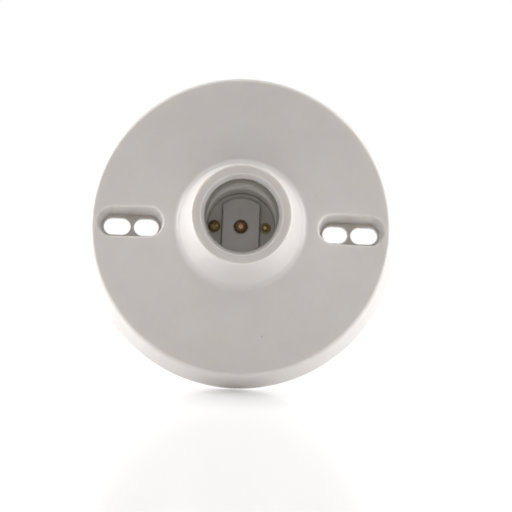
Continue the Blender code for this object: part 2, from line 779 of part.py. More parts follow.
assembly = bpy.data.objects.new("lamp_holder", None)
assembly.rotation_euler = (math.pi / 2, 0, 0)
bpy.context.scene.collection.objects.link(assembly)

moulding = principled("moulded_urea", (0.80, 0.78, 0.75), 0.32)
aluminium = principled("aluminium_sheet", (0.78, 0.78, 0.77), 0.3, 1.0)
brass = principled("turned_brass", (0.72, 0.52, 0.24), 0.28, 1.0)
bronze = principled("phosphor_bronze", (0.68, 0.42, 0.22), 0.32, 1.0)
nickel = principled("nickel_plated_brass", (0.70, 0.68, 0.62), 0.25, 1.0)
steel = principled("zinc_plated_steel", (0.62, 0.63, 0.64), 0.35, 1.0)

build_body()
build_shell()
build_contact()
build_leaf()
build_shell_screw()
build_rivet()
build_line_terminal()
build_neutral_terminal()
slotted_screw(
    "leaf_screw",
    brass,
    (0.0, LEAF_SCREW_RADIUS),
    strip_back - 2 * STACK_GAP - LEAF_SHEET,
    (LEAF_SCREW_HEAD_RADIUS, LEAF_SCREW_HEAD),
    (LEAF_SCREW_SHANK_RADIUS, LEAF_SCREW_LENGTH),
)
for wire, side, finish in (("line", 1, brass), ("neutral", -1, nickel)):
    build_clamp(f"{wire}_clamp", side, finish)
    slotted_screw(
        f"{wire}_screw",
        finish,
        (0.0, side * TERMINAL_RADIUS),
        clamp_back - STACK_GAP,
        (TERMINAL_HEAD_RADIUS, TERMINAL_HEAD_HEIGHT),
        (TERMINAL_SHANK_RADIUS, TERMINAL_SCREW_LENGTH),
    )
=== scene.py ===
# %% [markdown]
# # A batten lamp holder, dressed for its photograph
# A lamp holder is screwed to the round box in a ceiling, or on a wall. It has a white moulded
# cup, a rolled metal screw shell for the lamp, and small brass and steel parts behind it.
# The CAD model brings the true sizes and the moving bodies. Every piece below stands for one
# CAD node and shows what the solids leave plain: rounded edges, real threads and finishes.

# %% Load the frame and measure it
import json
import math

import bmesh
import bpy
from mathutils import Matrix, Vector

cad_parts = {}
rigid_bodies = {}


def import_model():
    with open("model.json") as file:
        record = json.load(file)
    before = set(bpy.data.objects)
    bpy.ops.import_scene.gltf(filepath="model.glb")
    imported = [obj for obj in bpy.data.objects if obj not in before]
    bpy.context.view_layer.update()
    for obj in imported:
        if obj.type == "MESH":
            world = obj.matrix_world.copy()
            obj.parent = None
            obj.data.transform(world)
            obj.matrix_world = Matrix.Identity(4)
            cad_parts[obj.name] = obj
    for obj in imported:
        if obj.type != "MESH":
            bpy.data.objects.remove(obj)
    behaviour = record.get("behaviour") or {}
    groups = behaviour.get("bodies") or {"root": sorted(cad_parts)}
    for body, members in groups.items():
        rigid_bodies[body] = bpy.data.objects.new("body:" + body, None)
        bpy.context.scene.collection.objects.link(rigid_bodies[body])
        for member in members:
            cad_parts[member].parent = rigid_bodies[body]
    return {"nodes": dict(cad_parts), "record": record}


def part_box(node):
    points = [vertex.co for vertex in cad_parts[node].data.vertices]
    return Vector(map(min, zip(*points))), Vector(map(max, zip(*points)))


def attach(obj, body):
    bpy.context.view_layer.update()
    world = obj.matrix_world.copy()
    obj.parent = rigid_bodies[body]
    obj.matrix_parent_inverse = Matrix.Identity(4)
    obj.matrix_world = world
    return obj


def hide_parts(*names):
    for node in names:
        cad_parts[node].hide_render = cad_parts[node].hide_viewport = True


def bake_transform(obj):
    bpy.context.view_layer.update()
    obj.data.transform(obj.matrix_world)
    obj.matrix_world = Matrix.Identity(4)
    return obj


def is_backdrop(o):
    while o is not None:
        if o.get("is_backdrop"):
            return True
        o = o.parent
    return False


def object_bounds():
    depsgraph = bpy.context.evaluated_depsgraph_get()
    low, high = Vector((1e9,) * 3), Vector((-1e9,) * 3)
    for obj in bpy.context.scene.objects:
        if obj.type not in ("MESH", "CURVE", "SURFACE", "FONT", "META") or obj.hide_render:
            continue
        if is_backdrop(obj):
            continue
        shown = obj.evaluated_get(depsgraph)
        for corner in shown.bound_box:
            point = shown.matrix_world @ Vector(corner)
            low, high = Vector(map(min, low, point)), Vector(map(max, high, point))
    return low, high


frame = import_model()
cad_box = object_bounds()
record = frame["record"]
body_of = {node: body for body, nodes in record["behaviour"]["bodies"].items() for node in nodes}
print("CAD nodes:", len(frame["nodes"]))
print("CAD box in mm:", [[round(v * 1000, 2) for v in corner] for corner in cad_box])

# %% [markdown]
# ## The bench
# Round work is easiest with its axis upright. So every piece is modelled on a bench where the
# lamp's axis is +Z and the mounting plane is Z = 0, as a turner would hold it. One matrix then
# lays the finished mesh into the frame, where the lamp points along -Y.

# %% Units and the turn from bench to frame
MM = 0.001
UPRIGHT = Matrix.Rotation(math.radians(90), 4, "X")
top_in_frame = UPRIGHT @ Vector((0, 0, 50.5 * MM))
print("bench point (0, 0, 50.5 mm) lands at", [round(v * 1000, 1) for v in top_in_frame])

# %% [markdown]
# ## Sizes that several pieces share
# They are the CAD model's own sizes in millimetres. Heights are measured from the mounting
# plane, and places along a row are measured from the lamp's axis.

# %% Shared sizes
RIM_RADIUS = 57.15  # where the skirt meets the wall
FACE_EDGE = (54.3, 20.0)  # radius and height of the face's outer edge
FACE_SLOPE = math.tan(math.radians(9))
NECK_RADIUS = 22.4  # where the neck leaves the face
TOP = 50.5  # the ring round the mouth
SHELL_TOP, SHELL_FLOOR = 46.3, 17.95
SOCKET_FLOOR = 17.5
BAR_TOP, BAR_RADIUS, BAR_HALF_WIDTH = 19.85, 10.4, 6.65
CHANNEL_TOP = 16.85  # roof of the channel that holds the leaf spring
SEAT, TRAY_RIM = 10.5, 7.5  # where the terminals sit, and the edge of their tray
STRIP_TOP, STRIP_BACK = 10.3, 9.5  # the two sides of a terminal strip
POCKET_AT = 40.0
TERMINAL_AT = 26.0
LEAF_SCREW_AT = 13.0
SCREW_AT, RIVET_AT = -9.6, 8.95
SMALL_HOLE, TERMINAL_HOLE = 1.6, 2.05  # radii of the holes for fasteners


def face_height(x, y):
    """Height of the coned face over a point of the bench, in millimetres."""
    return FACE_EDGE[1] + (FACE_EDGE[0] - math.hypot(x, y)) * FACE_SLOPE


print("face height beside the neck:", round(face_height(NECK_RADIUS, 0), 2), "mm")

# %% [markdown]
# ## Turning and pressing
# Two helpers make most pieces. An outline is drawn as a closed wire, and a vertex bevel rounds
# each corner, as a form tool would. Spinning the wire gives a turned piece, and filling and
# extruding it gives a pressed one. Millimetres go in, and metres are made at the very end.

# %% Outline, turned and pressed
MERGE = 0.0005  # points closer than this become one


def outline(bm, corners, segments=6):
    """Draws a closed wire through (a, b, rounding) in the XZ plane and rounds its corners."""
    points = [bm.verts.new((a, 0, b)) for a, b, rounding in corners]
    for index, point in enumerate(points):
        bm.edges.new((points[index - 1], point))
    for point, (a, b, rounding) in zip(points, corners):
        if rounding:
            one, two = [edge.other_vert(point).co - point.co for edge in point.link_edges]
            reach = rounding / math.tan(one.angle(two) / 2)
            bmesh.ops.bevel(
                bm, geom=[point], offset=reach, offset_type="OFFSET", segments=segments,
                profile=0.5, affect="VERTICES", material=-1,
            )


def turned(corners, steps=64, segments=6, centre=(0, 0)):
    """A solid turned about a vertical axis from its half section of (radius, height, rounding)."""
    bm = bmesh.new()
    outline(bm, corners, segments)
    bmesh.ops.spin(
        bm, geom=bm.verts[:] + bm.edges[:], cent=(0, 0, 0), axis=(0, 0, 1),
        angle=math.tau, steps=steps, use_merge=True,
    )
    bmesh.ops.remove_doubles(bm, verts=bm.verts, dist=MERGE)
    bmesh.ops.dissolve_degenerate(bm, edges=bm.edges, dist=MERGE)
    bmesh.ops.recalc_face_normals(bm, faces=bm.faces)
    bmesh.ops.translate(bm, verts=bm.verts, vec=(*centre, 0))
    return bm


def swing(bm, degrees, axis, centre=(0, 0, 0)):
    """Turns a whole shape about an axis through a point."""
    turn = Matrix.Rotation(math.radians(degrees), 3, axis)
    bmesh.ops.rotate(bm, verts=bm.verts, cent=centre, matrix=turn)


def pressed(corners, low, high, segments=6):
    """A flat solid between two heights, on an outline of (x, y, rounding)."""
    bm = bmesh.new()
    outline(bm, corners, segments)
    swing(bm, -90, "X")
    bmesh.ops.translate(bm, verts=bm.verts, vec=(0, 0, low))
    floor = bmesh.ops.contextual_create(bm, geom=bm.edges[:])["faces"]
    raised = bmesh.ops.extrude_face_region(bm, geom=floor)["geom"]
    lid = [item for item in raised if isinstance(item, bmesh.types.BMVert)]
    bmesh.ops.translate(bm, verts=lid, vec=(0, 0, high - low))
    bmesh.ops.recalc_face_normals(bm, faces=bm.faces)
    return bm


def oblong(half_width, near, far, near_rounding=0, far_rounding=0):
    """Corners of an oblong outline that is centred on x = 0 and runs along y."""
    return [
        (-half_width, near, near_rounding), (half_width, near, near_rounding),
        (half_width, far, far_rounding), (-half_width, far, far_rounding),
    ]


print("outline, turned, pressed and oblong are ready")

# %% [markdown]
# ## Cutters and edges
# A drill is a plain cylinder and a saw is a block. Real edges are never sharp: tumbling and
# plating round them, and a fine bevel is what catches the light there.


# %% Drill, block and soften
def drill(x, y, radius, low, high, steps=48):
    """A round cutter."""
    bm = bmesh.new()
    bmesh.ops.create_cone(
        bm, cap_ends=True, segments=steps, radius1=radius, radius2=radius, depth=high - low,
        matrix=Matrix.Translation((x, y, (low + high) / 2)),
    )
    return bm


def block(centre, sides, lean=0.0):
    """A box-shaped cutter of (x, y, z) sides that leans by an angle in radians."""
    bm = bmesh.new()
    lay = Matrix.Translation(centre) @ Matrix.Rotation(lean, 4, "Y") @ Matrix.Diagonal((*sides, 1))
    bmesh.ops.create_cube(bm, size=1, matrix=lay)
    return bm


def edges_at(bm, test):
    """The edges whose two ends both pass a test of their place."""
    return [edge for edge in bm.edges if all(test(vert.co) for vert in edge.verts)]


def corner_edges(bm, least):
    """The edges where two faces meet at more than this many degrees."""
    limit = math.radians(least)
    between = [edge for edge in bm.edges if len(edge.link_faces) == 2]
    return [edge for edge in between if edge.calc_face_angle(0) > limit]


def soften(bm, edges, size, segments=3):
    """Rounds edges, as tumbling and plating do."""
    bmesh.ops.bevel(
        bm, geom=edges, offset=size, offset_type="OFFSET", segments=segments,
        profile=0.5, affect="EDGES", material=-1, clamp_overlap=True,
    )


print("drill, block and soften are ready")

# %% [markdown]
# ## Joining and cutting
# A Boolean joins or cuts several helpers in one step when they sit in a collection. The exact
# solver is slower, but it keeps thin lips clean. The result is read back as a mesh and the
# helpers are thrown away, so nothing live is left for the export.


# %% Boolean on the bench
def combined(bm, operation, helpers):
    """Joins helper shapes to a shape, or cuts them out of it."""
    scene = bpy.context.scene.collection
    group = bpy.data.collections.new("helpers")
    scene.children.link(group)
    meshes = []
    for shape in [bm, *helpers]:
        mesh = bpy.data.meshes.new("bench")
        shape.to_mesh(mesh)
        shape.free()
        meshes.append(mesh)
    target = bpy.data.objects.new("bench", meshes[0])
    scene.objects.link(target)
    for mesh in meshes[1:]:
        group.objects.link(bpy.data.objects.new("helper", mesh))
    step = target.modifiers.new("step", "BOOLEAN")
    step.operation, step.solver = operation, "EXACT"
    step.operand_type, step.collection = "COLLECTION", group
    result = bmesh.new()
    result.from_object(target, bpy.context.evaluated_depsgraph_get())
    for obj in [target, *group.objects]:
        bpy.data.objects.remove(obj)
    bpy.data.collections.remove(group)
    for mesh in meshes:
        bpy.data.meshes.remove(mesh)
    bmesh.ops.remove_doubles(result, verts=result.verts, dist=MERGE)
    bmesh.ops.dissolve_degenerate(result, edges=result.edges, dist=MERGE)
    return result


print("combined is ready")

# %% [markdown]
# ## Putting a piece into the frame
# The last helper scales to metres, lays the piece upright, gives it smooth shading with sharp
# creases, and hides the CAD node it stands for. It rides on that node's body, so the screws
# turn and the button presses with everything on them.


# %% Into the frame
def mesh_of(name, bm, material):
    """Turns a finished bmesh into a mesh with its material."""
    mesh = bpy.data.meshes.new(name)
    bm.to_mesh(mesh)
    bm.free()
    mesh.materials.append(material)
    return mesh


def placed(name, data):
    """Puts a mesh, lamp or camera into the scene."""
    obj = bpy.data.objects.new(name, data)
    bpy.context.scene.collection.objects.link(obj)
    return obj


def fit(name, bm, material, node, crease=35, bends=None):
    """Makes the object that stands for a CAD node. Given bends, the piece is left on no body."""
    bmesh.ops.transform(bm, matrix=UPRIGHT @ Matrix.Scale(MM, 4), verts=bm.verts)
    mesh = mesh_of(name, bm, material)
    mesh.shade_smooth()
    mesh.set_sharp_from_angle(angle=math.radians(crease))
    obj = placed(name, mesh)
    even = obj.modifiers.new("even_shading", "WEIGHTED_NORMAL")
    even.keep_sharp = True
    if bends:
        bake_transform(obj)
    else:
        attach(obj, body_of[node])
    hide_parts(node)
    low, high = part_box(node)
    drift = 0
    for axis in range(3):
        reach = [vert.co[axis] for vert in mesh.vertices]
        drift = max(drift, abs(min(reach) - low[axis]), abs(max(reach) - high[axis]))
    triangles = sum(len(polygon.vertices) - 2 for polygon in mesh.polygons)
    print(f"{name}: {triangles} triangles, {drift * 1000:.2f} mm off its node's box")


# %% [markdown]
# ## Colours and nodes
# Colours are written as they look on a screen, and one function turns them into the linear
# values that light works with. One small helper adds a shader node with its settings and links.


# %% Colour and node helpers
def linear(code):
    """Linear red, green, blue and alpha of an sRGB hex colour."""
    parts = [int(code[place : place + 2], 16) / 255 for place in (0, 2, 4)]
    return (*[v / 12.92 if v <= 0.04045 else ((v + 0.055) / 1.055) ** 2.4 for v in parts], 1.0)


def add(tree, kind, inputs=None, **settings):
    """Adds a shader node. An input is a value, or a socket to link it to."""
    node = tree.nodes.new("ShaderNode" + kind)
    for key, value in settings.items():
        setattr(node, key, value)
    for socket, value in (inputs or {}).items():
        if isinstance(value, bpy.types.NodeSocket):
            tree.links.new(value, node.inputs[socket])
        else:
            node.inputs[socket].default_value = value
    return node


def finish(name, **values):
    """A new material with its shader's plain values set. Returns the material, tree and shader."""
    material = bpy.data.materials.new(name)
    material.use_nodes = True
    shader = material.node_tree.nodes["Principled BSDF"]
    for socket, value in values.items():
        shader.inputs[socket.replace("_", " ")].default_value = value
    return material, material.node_tree, shader


print("mid grey in linear light:", [round(v, 3) for v in linear("808080")[:3]])

# %% [markdown]
# ## The white moulding
# Such holders are compression moulded from urea resin. It is a hard, slightly warm white with a
# soft gloss from the polished tool. Light sinks in and comes out a few millimetres away, which
# makes edges look milky, and the shader's subsurface part does that. Close up it isn't
# perfectly even: the powder leaves faint clouds a few millimetres wide, the surface has a
# shallow waviness, and a few dust specks are moulded in. A clean shader would look like
# computer plastic, so the clouds change colour and roughness a little, the middles of a Voronoi
# pattern's cells make the specks, and two noises give the bump.

# %% Moulded urea
CLOUDS, WAVES, GRAIN, SPECKS = 9 * MM, 4 * MM, 0.5 * MM, 14 * MM

moulded_urea, tree, shader = finish(
    "moulded_urea", IOR=1.55, Subsurface_Weight=0.9,
    Subsurface_Radius=(1.0, 0.9, 0.74), Subsurface_Scale=3 * MM,
)
place = add(tree, "TexCoord").outputs["Object"]
clouds = add(tree, "TexNoise", {
    "Vector": place, "Scale": 1 / CLOUDS, "Detail": 3.0, "Roughness": 0.6,
})
tint = add(tree, "ValToRGB", {"Fac": clouds.outputs["Fac"]})
for stop, position, code in zip(tint.color_ramp.elements, (0.3, 0.7), ("D4CFCC", "D6D3D0")):
    stop.position, stop.color = position, linear(code)
dots = add(tree, "TexVoronoi", {"Vector": place, "Scale": 1 / SPECKS})
speck = add(tree, "MapRange", {
    "Value": dots.outputs["Distance"],
    "From Min": 0.018, "From Max": 0.03, "To Min": 0.7, "To Max": 1.0,
})
spotted = add(
    tree, "VectorMath", {0: tint.outputs["Color"], 1: speck.outputs["Result"]},
    operation="MULTIPLY",
)
tree.links.new(spotted.outputs["Vector"], shader.inputs["Base Color"])
gloss = add(tree, "MapRange", {"Value": clouds.outputs["Fac"], "To Min": 0.34, "To Max": 0.42})
tree.links.new(gloss.outputs["Result"], shader.inputs["Roughness"])
waves = add(tree, "TexNoise", {"Vector": place, "Scale": 1 / WAVES, "Detail": 1.0})
grain = add(tree, "TexNoise", {"Vector": place, "Scale": 1 / GRAIN, "Detail": 2.0})
fine = add(tree, "Bump", {"Height": grain.outputs["Fac"], "Strength": 0.03, "Distance": 0.02 * MM})
skin = add(tree, "Bump", {
    "Height": waves.outputs["Fac"], "Strength": 0.06, "Distance": 0.04 * MM,
    "Normal": fine.outputs["Normal"],
})
tree.links.new(skin.outputs["Normal"], shader.inputs["Normal"])
print("moulded urea: clouds 9 mm, waves 4 mm, grain 0.5 mm, a speck about every 14 mm")

# %% [markdown]
# ## The rolled shell's metal
# The shell is drawn from thin aluminium sheet and its thread is rolled. Rolling leaves fine
# streaks that run round the axis. Noise that is stretched round the axis needs a coordinate
# that doesn't change as one walks round, so radius and height feed it. Deep in the socket the
# sheet is pale and less metallic: painted light that lifts a wall that little light reaches.
# Near the mouth it is fully metallic and greyer. The floor is the darkest, with painted shade.
# Height alone blends the three.

# %% Rolled aluminium
STREAKS, SMUDGES = 0.5 * MM, 5 * MM
MOUTH_TONE_DEPTH, PAINTED_LIGHT_DEPTH = 3.0, 12.0  # below the mouth: full grey mouth tone, and full painted light
FLOOR_EDGE, WALL_FOOT = 0.7, 2.2  # above the floor: last of the floor's painted shade, and first wall

rolled_aluminium, tree, shader = finish("rolled_aluminium", Metallic=1.0)
place = add(tree, "TexCoord").outputs["Object"]
split = add(tree, "SeparateXYZ", {"Vector": place})
radial = add(tree, "CombineXYZ", {"X": split.outputs["X"], "Y": split.outputs["Z"]})
radius = add(tree, "VectorMath", {0: radial.outputs["Vector"]}, operation="LENGTH")
round_axis = add(tree, "CombineXYZ", {"X": radius.outputs["Value"], "Y": split.outputs["Y"]})
streaks = add(tree, "TexNoise", {
    "Vector": round_axis.outputs["Vector"], "Scale": 1 / STREAKS, "Detail": 3.0,
})
smudge = add(tree, "TexNoise", {"Vector": place, "Scale": 1 / SMUDGES, "Detail": 2.0})
tint = add(tree, "ValToRGB", {"Fac": streaks.outputs["Fac"]})
for stop, code in zip(tint.color_ramp.elements, ("F0EEEA", "F8F6F2")):
    stop.color = linear(code)
# Painted light: below the mouth the wall turns paler and less metallic, so the deep wall looks
# lit.
near_mouth = add(tree, "MapRange", {
    "Value": split.outputs["Y"],
    "From Min": -(SHELL_TOP - PAINTED_LIGHT_DEPTH) * MM, "From Max": -(SHELL_TOP - MOUTH_TONE_DEPTH) * MM,
})
wall_tint_with_painted_light = add(tree, "Mix", {"Factor": near_mouth.outputs["Result"]}, data_type="RGBA")
tree.links.new(tint.outputs["Color"], wall_tint_with_painted_light.inputs["A"])
wall_tint_with_painted_light.inputs["B"].default_value = linear("D2D0CA")
# Painted shade: the floor gets a darker colour than the wall.
on_wall = add(tree, "MapRange", {
    "Value": split.outputs["Y"],
    "From Min": -(SHELL_FLOOR + FLOOR_EDGE) * MM, "From Max": -(SHELL_FLOOR + WALL_FOOT) * MM,
})
tint_with_painted_floor_shade = add(tree, "Mix", {"Factor": on_wall.outputs["Result"]}, data_type="RGBA")
tint_with_painted_floor_shade.inputs["A"].default_value = linear("BFBCB5")
tree.links.new(wall_tint_with_painted_light.outputs["Result"], tint_with_painted_floor_shade.inputs["B"])
tree.links.new(tint_with_painted_floor_shade.outputs["Result"], shader.inputs["Base Color"])
metallic_by_depth = add(tree, "MapRange", {"Value": near_mouth.outputs["Result"], "To Min": 0.2, "To Max": 1.0})
tree.links.new(metallic_by_depth.outputs["Result"], shader.inputs["Metallic"])
dull = add(tree, "MapRange", {"Value": smudge.outputs["Fac"], "To Min": 0.34, "To Max": 0.4})
tree.links.new(dull.outputs["Result"], shader.inputs["Roughness"])
lines = add(tree, "Bump", {
    "Height": streaks.outputs["Fac"], "Strength": 0.04, "Distance": 0.02 * MM,
})
tree.links.new(lines.outputs["Normal"], shader.inputs["Normal"])
print("rolled aluminium: streaks 0.5 mm apart, drawn coarser than real to show")

# %% [markdown]
# ## Turned brass
# The contact, the rivet and the small screws are turned from brass rod. The tool leaves rings
# about the piece's own axis, and years of air leave a brown tarnish. The crown of each head
# keeps a bright colour, which is a painted highlight. The rings and the crown need that axis,
# so a Mapping node moves the pattern onto each piece.


# %% Turned brass, centred on a piece
def turned_brass(name, x, y, bright, tarnish):
    """Brass with turning rings and a painted highlight on its crown, about the upright axis
    through (x, y) of the bench.
    """
    material, tree, shader = finish(name, Metallic=1.0)
    place = add(tree, "TexCoord").outputs["Object"]
    centred = add(tree, "Mapping", {"Vector": place, "Location": (-x * MM, 0, -y * MM)})
    split = add(tree, "SeparateXYZ", {"Vector": centred.outputs["Vector"]})
    radial = add(tree, "CombineXYZ", {"X": split.outputs["X"], "Y": split.outputs["Z"]})
    radius = add(tree, "VectorMath", {0: radial.outputs["Vector"]}, operation="LENGTH")
    rings = add(
        tree, "TexNoise", {"W": radius.outputs["Value"], "Scale": 1 / (0.16 * MM), "Detail": 2.0},
        noise_dimensions="1D",
    )
    patches = add(tree, "TexNoise", {"Vector": place, "Scale": 1 / (0.8 * MM), "Detail": 3.0})
    # Painted highlight: the crown keeps the bright colour, and tarnish takes over from 0.9 mm to 2
    # mm out.
    outside_painted_highlight = add(tree, "MapRange", {
        "Value": radius.outputs["Value"], "From Min": 0.9 * MM, "From Max": 2.0 * MM,
    })
    amount = add(
        tree, "Math", {0: outside_painted_highlight.outputs["Result"], 1: patches.outputs["Fac"]},
        operation="MULTIPLY",
    )
    tint = add(tree, "ValToRGB", {"Fac": amount.outputs["Value"]})
    for stop, position, code in zip(tint.color_ramp.elements, (0.05, 0.55), (bright, tarnish)):
        stop.position, stop.color = position, linear(code)
    tree.links.new(tint.outputs["Color"], shader.inputs["Base Color"])
    dull = add(tree, "MapRange", {"Value": amount.outputs["Value"], "To Min": 0.24, "To Max": 0.5})
    tree.links.new(dull.outputs["Result"], shader.inputs["Roughness"])
    lines = add(tree, "Bump", {
        "Height": rings.outputs["Fac"], "Strength": 0.25, "Distance": 0.02 * MM,
    })
    tree.links.new(lines.outputs["Normal"], shader.inputs["Normal"])
    return material


contact_brass = turned_brass("contact_brass", 0, 0, "B2906B", "7F6247")
screw_brass = turned_brass("shell_screw_brass", SCREW_AT, 0, "A28F63", "756343")
rivet_brass = turned_brass("rivet_brass", RIVET_AT, 0, "BBA26F", "8C7B4F")
leaf_screw_brass = turned_brass("leaf_screw_brass", 0, LEAF_SCREW_AT, "D2AE6A", "8A6A3A")
line_screw_brass = turned_brass("line_screw_brass", 0, TERMINAL_AT, "D2AE6A", "8A6A3A")
print("turned brass: rings 0.16 mm apart about each piece's own axis")

# %% [markdown]
# ## Sheet metals
# Terminals are blanked from rolled strip. Strip has a straight grain along its length, and
# plating softens it: bare brass and phosphor bronze for the line side, dull nickel for neutral,
# zinc for the lock washer. Noise squeezed to a thirtieth along one axis draws that grain.


# %% Rolled strip
def rolled_strip(name, light, dark, low_rough, high_rough):
    """Sheet metal with its rolling grain along the row of terminals."""
    material, tree, shader = finish(name, Metallic=1.0)
    place = add(tree, "TexCoord").outputs["Object"]
    drawn = add(tree, "Mapping", {"Vector": place, "Scale": (1, 1, 1 / 30)})
    grain = add(tree, "TexNoise", {
        "Vector": drawn.outputs["Vector"], "Scale": 1 / (0.25 * MM), "Detail": 3.0,
    })
    stain = add(tree, "TexNoise", {"Vector": place, "Scale": 1 / (6 * MM), "Detail": 3.0})
    both = add(
        tree, "Math", {0: grain.outputs["Fac"], 1: stain.outputs["Fac"]}, operation="MULTIPLY"
    )
    tint = add(tree, "ValToRGB", {"Fac": both.outputs["Value"]})
    for stop, position, code in zip(tint.color_ramp.elements, (0.1, 0.4), (dark, light)):
        stop.position, stop.color = position, linear(code)
    tree.links.new(tint.outputs["Color"], shader.inputs["Base Color"])
    dull = add(tree, "MapRange", {
        "Value": stain.outputs["Fac"], "To Min": low_rough, "To Max": high_rough,
    })
    tree.links.new(dull.outputs["Result"], shader.inputs["Roughness"])
    lines = add(tree, "Bump", {
        "Height": grain.outputs["Fac"], "Strength": 0.12, "Distance": 0.02 * MM,
    })
    tree.links.new(lines.outputs["Normal"], shader.inputs["Normal"])
    return material


brass_strip = rolled_strip("brass_strip", "DDB870", "A8823F", 0.22, 0.38)
bronze_strip = rolled_strip("phosphor_bronze_strip", "CF9A6A", "97633C", 0.25, 0.4)
nickel_plate = rolled_strip("nickel_plate", "CFCBC0", "A39E92", 0.18, 0.32)
zinc_plate = rolled_strip("zinc_plate", "C3C6C9", "8D9194", 0.3, 0.5)
print("rolled strip: grain 0.25 mm wide and 7.5 mm long")

# %% [markdown]
# ## The body: turning the cup
# The moulding is a turned form first: a skirt that flares to the wall, a coned face, a fillet
# into the neck, a flat ring and a chamfered mouth, whose foot ends in a small bead over the
# shell's edge. Inside it is a cup round a thick socket block. One closed half section gives all
# of it, and 192 steps keep the silhouette round.

# %% The turned blank
BLOCK_RADIUS, TRAY_RADIUS = 19.95, 17.95
FACE_WALL = 2.632  # the wall under the coned face, measured upright
SOCKET_RADIUS, BEAD_RADIUS = 13.5, 13.28

body_section = [
    (RIM_RADIUS, 0, 0.4),
    (*FACE_EDGE, 1.6),
    (NECK_RADIUS, face_height(NECK_RADIUS, 0), 3.2),
    (17.8, TOP, 0.6),
    (14.5, TOP, 0.25),
    (BEAD_RADIUS, 47.6, 0.3),
    (BEAD_RADIUS, 46.4, 0),
    (SOCKET_RADIUS, 46.32, 0),
    (SOCKET_RADIUS, SOCKET_FLOOR, 0),
    (0, SOCKET_FLOOR, 0),
    (0, TRAY_RIM, 0),
    (BLOCK_RADIUS, TRAY_RIM, 0.4),
    (BLOCK_RADIUS, face_height(BLOCK_RADIUS, 0) - FACE_WALL, 1.2),
    (51.7, face_height(51.7, 0) - FACE_WALL, 1.2),
    (54.15, 0, 0.2),
]
body = turned(body_section, steps=192, segments=8)
print("blank:", len(body.faces), "faces")

# %% [markdown]
# ## The body: what is moulded onto it
# The bar across the socket floor has arcs for ends, so it starts as a disc that is sliced on
# both sides. Two ears carry the terminals, four ribs stiffen the face, and a well of even wall
# stands round each pocket. The obround helper makes a slot's outline from a circle: its two
# halves are pushed apart, and the straight sides are divided so that they can follow the cone.

# %% Bar, ears and ribs
ROOTED = 1.3  # how far below the face ears and wells end inside its wall


def sliced(bm, x):
    """Cuts away both sides of a shape beyond +x and -x and closes the cuts."""
    for side in (1, -1):
        everything = bm.verts[:] + bm.edges[:] + bm.faces[:]
        cut = bmesh.ops.bisect_plane(
            bm, geom=everything, plane_co=(side * x, 0, 0), plane_no=(side, 0, 0), clear_outer=True
        )
        rim = [item for item in cut["geom_cut"] if isinstance(item, bmesh.types.BMEdge)]
        bmesh.ops.edgenet_fill(bm, edges=rim)
    bmesh.ops.recalc_face_normals(bm, faces=bm.faces)
    return bm


bar = sliced(drill(0, 0, BAR_RADIUS, SOCKET_FLOOR - 2.6, BAR_TOP, steps=128), BAR_HALF_WIDTH)
soften(bar, edges_at(bar, lambda co: co.z > BAR_TOP - 0.01), 0.6, segments=4)

additions = [bar]
for side in (1, -1):
    ear = pressed(oblong(7.2, side * TRAY_RADIUS, side * 33.0, 0, 1.0), TRAY_RIM, 24.0)
    for vert in ear.verts:
        if vert.co.z > 20:
            vert.co.z = face_height(0, vert.co.y) - ROOTED
    additions.append(ear)
rib_side = [(TRAY_RADIUS, 10.5, 0), (53.0, 11.7, 0), (53.0, 18.9, 0), (TRAY_RADIUS, 24.45, 0)]
for quarter in range(4):
    rib = pressed(rib_side, -1, 1)
    soften(rib, edges_at(rib, lambda co: co.y < 12 and abs(co.x - 35) < 20), 0.3, segments=2)
    swing(rib, 90, "X")
    swing(rib, 45 + 90 * quarter, "Z")
    additions.append(rib)
print("bar, ears and ribs:", len(additions), "shapes")


# %% Wells and pockets from stacked obround rings
def obround_ring(bm, x, length, width, height):
    """Adds a closed slot outline and returns its points' numbers. Height may be a function."""
    first = len(bm.verts)
    half_step = Matrix.Rotation(math.pi / 64, 4, "Z")
    bmesh.ops.create_circle(bm, segments=64, radius=width / 2, matrix=half_step)
    bm.verts.ensure_lookup_table()
    bm.verts.index_update()
    for vert in bm.verts[first:]:
        vert.co.x += math.copysign((length - width) / 2, vert.co.x)
    sides = [
        edge for edge in bm.edges
        if edge.verts[0].index >= first and edge.verts[0].co.x * edge.verts[1].co.x < 0
    ]
    bmesh.ops.subdivide_edges(bm, edges=sides, cuts=12)
    bm.verts.ensure_lookup_table()
    for vert in bm.verts[first:]:
        vert.co.x += x
        vert.co.z = height(vert.co.x, vert.co.y) if callable(height) else height
    return range(first, len(bm.verts))


def stacked(x, rings):
    """A closed solid skinned over obround rings of (length, width, height)."""
    bm = bmesh.new()
    spans = [obround_ring(bm, x, *ring) for ring in rings]

    def ring_edges(span):
        bm.verts.index_update()
        return [edge for edge in bm.edges if all(vert.index in span for vert in edge.verts)]

    for lower, upper in zip(spans, spans[1:]):
        bmesh.ops.bridge_loops(bm, edges=ring_edges(lower) + ring_edges(upper))
    for span in (spans[0], spans[-1]):
        bmesh.ops.contextual_create(bm, geom=ring_edges(span))
    bmesh.ops.recalc_face_normals(bm, faces=bm.faces)
    return bm


def grown(size, more, height):
    """One ring: a (length, width) that is larger by more all round, at a height."""
    return (size[0] + 2 * more, size[1] + 2 * more, height)


def under_face(depth):
    """A height that follows the coned face, this far below it."""
    return lambda x, y: face_height(x, y) - depth


WELL, POCKET = (26.0, 12.9), (23.6, 10.5)
for side in (1, -1):
    well = [
        grown(WELL, -0.5, 5.6), grown(WELL, -0.15, 5.75), grown(WELL, 0, 6.1),
        grown(WELL, 0, under_face(ROOTED)),
    ]
    additions.append(stacked(side * POCKET_AT, well))
body = combined(body, "UNION", additions)
print("body with everything moulded on:", len(body.faces), "faces")

